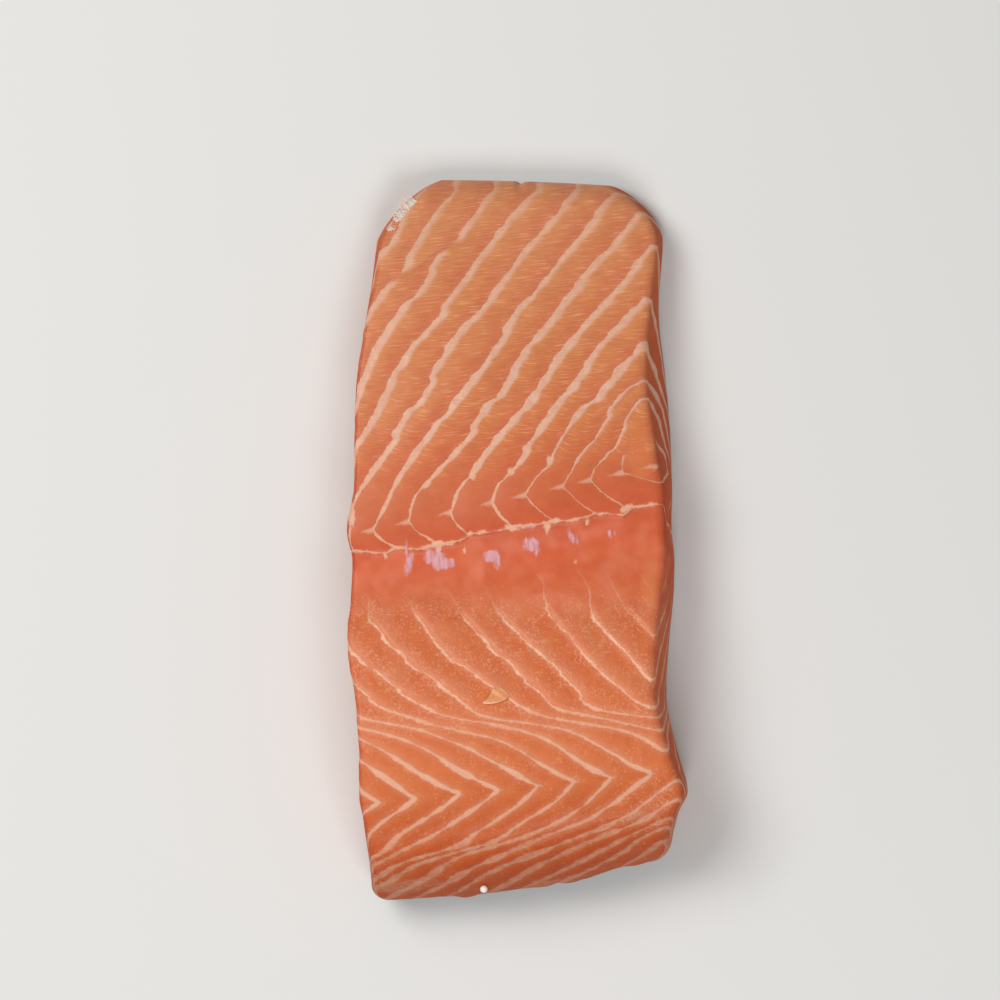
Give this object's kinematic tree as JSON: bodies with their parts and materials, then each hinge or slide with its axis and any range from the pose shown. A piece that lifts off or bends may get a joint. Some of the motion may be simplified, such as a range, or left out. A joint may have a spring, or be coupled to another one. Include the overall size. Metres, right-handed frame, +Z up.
{
  "type": "raw salmon fillet",
  "caption": "Raw salmon fillet portion lying skin side down, thick at the back and thin at the belly, with zigzag bands of fat across the flesh.",
  "frame": {"origin": "centre of the flat underside's box, on the surface that the fillet rests on", "axes": "+Y from the thick back to the thin belly, +X across between the two knife cuts, +Z up out of the cut side of the flesh"},
  "size_m": [0.0762, 0.162, 0.0318],
  "materials": {
    "flesh": "satin",
    "skin": "satin"
  },
  "bodies": {
    "root": {"fillet": "flesh"}
  },
  "joints": []
}
